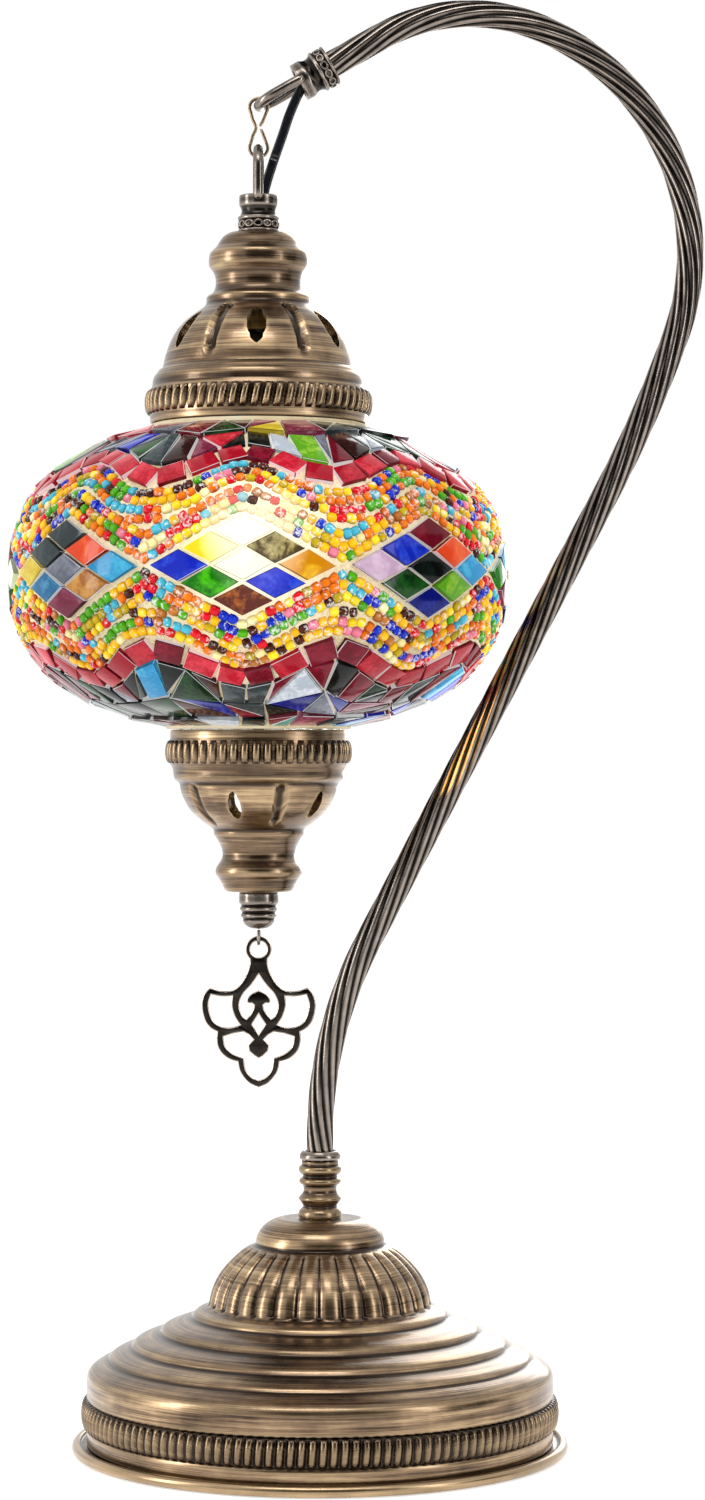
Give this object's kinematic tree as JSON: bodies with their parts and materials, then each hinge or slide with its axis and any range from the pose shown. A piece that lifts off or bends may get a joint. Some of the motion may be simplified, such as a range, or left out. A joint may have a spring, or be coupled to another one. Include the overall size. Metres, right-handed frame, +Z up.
{
  "type": "mosaic glass table lamp",
  "caption": "Swan-neck table lamp: a stepped spun brass base and a twisted arm carry a round mosaic glass shade that hangs from a wire link, with pierced caps, a finial and an openwork pendant.",
  "frame": {"origin": "middle of the underside of the base's felt pad", "axes": "+Z up along the stem, +X towards the side on which the arm bulges, -Y towards the front"},
  "size_m": [0.2284, 0.1646, 0.4758],
  "materials": {
    "antique_brass": "aged and brushed round the axis, satin",
    "dark_gunmetal": "dark blackened metal, semi-gloss",
    "polished_brass": "bright",
    "zinc_steel": "zinc plated",
    "black_felt": "matt felt",
    "black_plastic": "satin",
    "clear_glass": "clear, blown",
    "mosaic_glass": "coloured glass tiles and beads in pale grout, glossy",
    "frosted_bulb_glass": "frosted, lit from inside"
  },
  "bodies": {
    "stand": {"base_shell": "antique_brass", "base_plate": "antique_brass", "felt_pad": "black_felt", "threaded_tube": "polished_brass", "lower_nut": "zinc_steel", "upper_washer": "zinc_steel", "upper_nut": "zinc_steel", "cord_bush": "black_plastic", "stem_collar": "antique_brass", "foot_ferrule": "dark_gunmetal", "twisted_arm": "dark_gunmetal", "tip_ferrule": "dark_gunmetal", "lamp_lead": "black_plastic"},
    "link": {"hanging_link": "antique_brass"},
    "shade": {"shade_ferrule": "dark_gunmetal", "top_cap": "antique_brass", "bottom_cap": "antique_brass", "cap_tube": "polished_brass", "cap_nut": "zinc_steel", "holder_flange": "polished_brass", "shade_ring": "black_plastic", "upper_crossbar": "zinc_steel", "lower_crossbar": "zinc_steel", "tie_rod": "zinc_steel", "tie_nut": "zinc_steel", "lampholder": "black_plastic", "centre_contact": "polished_brass", "globe_glass": "clear_glass", "mosaic_shell": "mosaic_glass", "finial": "dark_gunmetal", "pendant_eye": "dark_gunmetal"},
    "bulb": {"bulb_glass": "frosted_bulb_glass", "bulb_base": "zinc_steel"},
    "pendant": {"pendant": "dark_gunmetal"}
  },
  "joints": [
    {"name": "link_swing", "type": "hinge", "parent": "stand", "child": "link", "pos_m": [-0.02012, 0, 0.44087], "axis": [0, 1, 0], "range_deg": [-0.3, 20], "deforming": ["lamp_lead"]},
    {"name": "shade_swing", "type": "hinge", "parent": "link", "child": "shade", "pos_m": [-0.02012, 0, 0.42667], "axis": [1, 0, 0], "range_deg": [-15, 15], "deforming": ["lamp_lead"]},
    {"name": "bulb_turn", "type": "hinge", "parent": "shade", "child": "bulb", "pos_m": [-0.02012, 0, 0.3468], "axis": [0, 0, 1], "continuous": true},
    {"name": "pendant_swing", "type": "hinge", "parent": "shade", "child": "pendant", "pos_m": [-0.02012, 0, 0.16595], "axis": [0, 1, 0], "range_deg": [-2.5, 60]}
  ]
}
